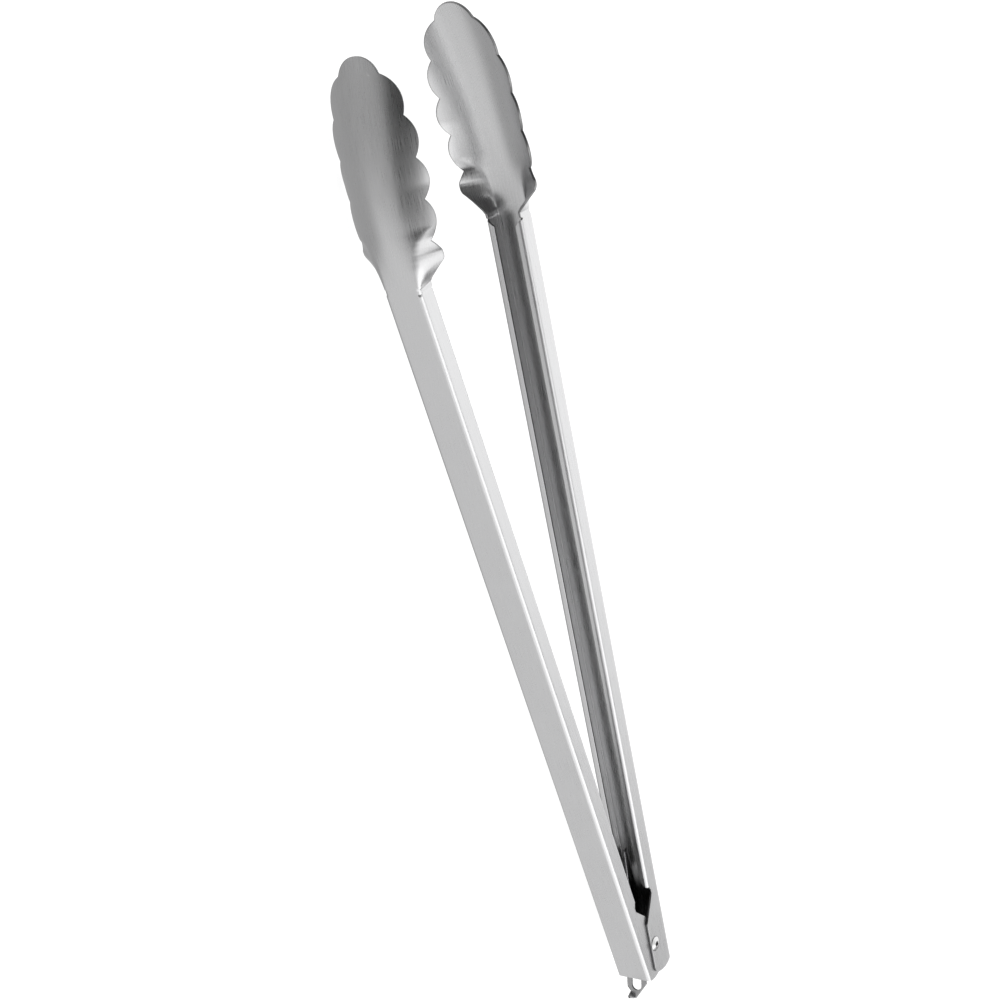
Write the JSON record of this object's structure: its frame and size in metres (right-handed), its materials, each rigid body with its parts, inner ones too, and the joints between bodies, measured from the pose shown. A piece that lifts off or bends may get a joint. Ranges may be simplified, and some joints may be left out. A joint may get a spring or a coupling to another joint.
{
  "type": "kitchen tongs",
  "caption": "Spring loaded stainless kitchen tongs: long lipped channel arms with cupped, scalloped gripping heads, pivoted on a hollow rivet, with a sliding lock and hanging tab.",
  "frame": {"origin": "centre of the hollow pivot rivet, midway along its length", "axes": "+Z along the rivet; +Y from the pivot towards the heads, on the centreline between the arms; +X the way the right arm opens"},
  "size_m": [0.0748, 0.4098, 0.0364],
  "materials": {
    "arm_left_steel": "brushed stainless steel sheet, grain along the arm",
    "arm_right_steel": "brushed stainless steel sheet, grain along the arm",
    "rivet_steel": "plain stainless steel, domed at both ends",
    "spring_wire": "drawn stainless spring wire",
    "slider_steel": "stamped stainless steel strip"
  },
  "bodies": {
    "arm_left": {"arm_left": "arm_left_steel", "pivot_rivet": "rivet_steel", "torsion_spring": "spring_wire"},
    "arm_right": {"arm_right": "arm_right_steel"},
    "lock_slider": {"lock_slider": "slider_steel"}
  },
  "joints": [
    {"name": "arm_pivot", "type": "hinge", "parent": "arm_left", "child": "arm_right", "pos_m": [0, 0, 0], "axis": [0, 0, 1], "range_deg": [0, 8.1], "stiffness_Nm_per_rad": 0.6, "springref_deg": -17.19, "deforming": ["torsion_spring"]},
    {"name": "lock_slide", "type": "slide", "parent": "arm_left", "child": "lock_slider", "axis": [0.0872, -0.9962, 0], "range_m": [0, 0.008]}
  ]
}
